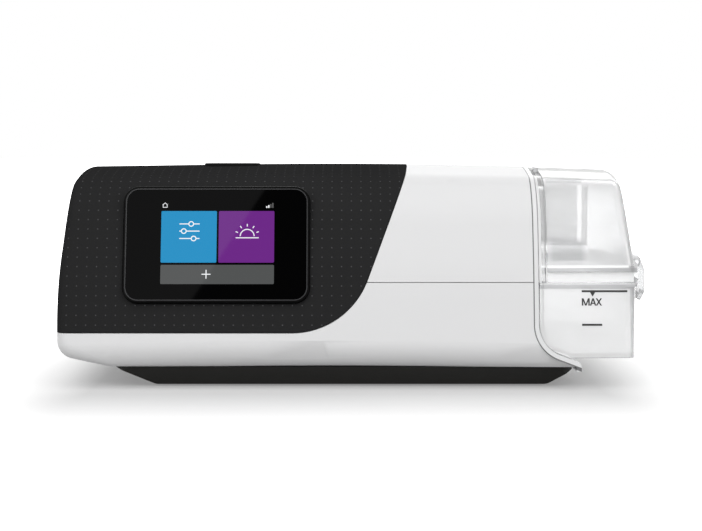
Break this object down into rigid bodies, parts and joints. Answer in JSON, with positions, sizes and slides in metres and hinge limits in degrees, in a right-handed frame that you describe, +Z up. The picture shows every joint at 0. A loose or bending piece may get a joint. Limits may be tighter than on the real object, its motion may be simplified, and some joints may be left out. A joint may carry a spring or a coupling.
{
  "type": "positive airway pressure therapy machine",
  "caption": "Bedside airway pressure therapy machine with a touch screen, a start button, a heated dock and a clear slide-in water tub with a hinged lid and clip.",
  "frame": {"origin": "centre of the bounding box's bottom face, on the surface the feet stand on", "axes": "+X from the screen end to the water tub end, +Y from the front to the back, +Z up"},
  "size_m": [0.2594, 0.1384, 0.0945],
  "materials": {
    "housing_white": "fine satin moulded skin",
    "fascia_black": "matte, with a faint square grid of dots",
    "base_black": "matte, finely grained",
    "screen_glass": "polished black glass over a colour display",
    "bezel_black": "semi-gloss with a bright edge",
    "trim_grey": "satin light grey",
    "clear_plastic": "clear moulded polycarbonate",
    "smoke_plastic": "satin dark grey",
    "liner_grey": "matte mid grey",
    "soft_rubber": "matte elastomer",
    "clear_silicone": "translucent silicone",
    "steel": "bright turned steel",
    "aluminium": "rolled plate",
    "copper": "enamelled copper windings",
    "board_green": "solder mask",
    "component_black": "moulded component bodies",
    "white_plastic": "satin engineering plastic",
    "foam_grey": "open-cell foam",
    "filter_white": "pleated filter fleece",
    "magnet": "sintered magnet",
    "film_orange": "polyimide film"
  },
  "bodies": {
    "housing": {"air_filter": "filter_white", "air_outlet": "smoke_plastic", "base_plate": "base_black", "blower_boot": "soft_rubber", "blower_mounts": "soft_rubber", "board_screws": "steel", "button_board": "board_green", "card_socket": "steel", "display_panel": "component_black", "display_ribbon": "film_orange", "dock_frame": "trim_grey", "dock_inlet_seal": "soft_rubber", "dock_liner": "liner_grey", "dock_outlet_seal": "soft_rubber", "flow_sensor": "component_black", "front_fascia": "fascia_black", "heater_mat": "film_orange", "heater_plate": "aluminium", "inlet_bellows": "soft_rubber", "inlet_plenum": "white_plastic", "lower_housing": "housing_white", "main_board": "board_green", "motor_bearings": "steel", "motor_can": "steel", "motor_stator": "copper", "muffler_foam": "foam_grey", "outlet_socket": "liner_grey", "power_jack": "component_black", "radio_board": "board_green", "rubber_feet": "soft_rubber", "screen_bezel": "bezel_black", "touch_glass": "screen_glass", "tube_contacts": "component_black", "upper_housing": "housing_white", "volute_lower": "white_plastic", "volute_upper": "white_plastic"},
    "start_button": {"start_button": "fascia_black"},
    "tub": {"tub_base": "clear_plastic", "tub_heat_plate": "steel", "tub_inner_cover": "clear_plastic", "lid_hinge_pin": "steel", "tub_air_guide": "clear_plastic"},
    "lid": {"tub_lid": "clear_plastic", "lid_seal": "clear_silicone", "clip_pin": "steel"},
    "clip": {"tub_clip": "clear_plastic"},
    "filter_cover": {"filter_cover": "liner_grey"},
    "card_cover": {"card_cover": "fascia_black"},
    "impeller": {"impeller": "white_plastic", "rotor_shaft": "steel", "rotor_magnet": "magnet"}
  },
  "joints": [
    {"name": "start_press", "type": "slide", "parent": "housing", "child": "start_button", "axis": [0, 0, -1], "range_m": [0, 0.0008], "stiffness_N_per_m": 900},
    {"name": "tub_slide", "type": "slide", "parent": "housing", "child": "tub", "axis": [1, 0, 0], "range_m": [0, 0.13]},
    {"name": "lid_hinge", "type": "hinge", "parent": "tub", "child": "lid", "pos_m": [0.0799, 0, 0.091], "axis": [0, -1, 0], "range_deg": [0, 90]},
    {"name": "clip_hinge", "type": "hinge", "parent": "lid", "child": "clip", "pos_m": [0.1254, 0, 0.0504], "axis": [0, -1, 0], "range_deg": [0, 35]},
    {"name": "filter_cover_hinge", "type": "hinge", "parent": "housing", "child": "filter_cover", "pos_m": [-0.053, 0.0678, 0.0381], "axis": [1, 0, 0], "range_deg": [0, 80]},
    {"name": "card_cover_hinge", "type": "hinge", "parent": "housing", "child": "card_cover", "pos_m": [-0.12885, 0.004, 0.0399], "axis": [0, 1, 0], "range_deg": [0, 90]},
    {"name": "impeller_spin", "type": "hinge", "parent": "housing", "child": "impeller", "pos_m": [-0.051, -0.013, 0.05], "axis": [0, 0, 1], "continuous": true}
  ]
}
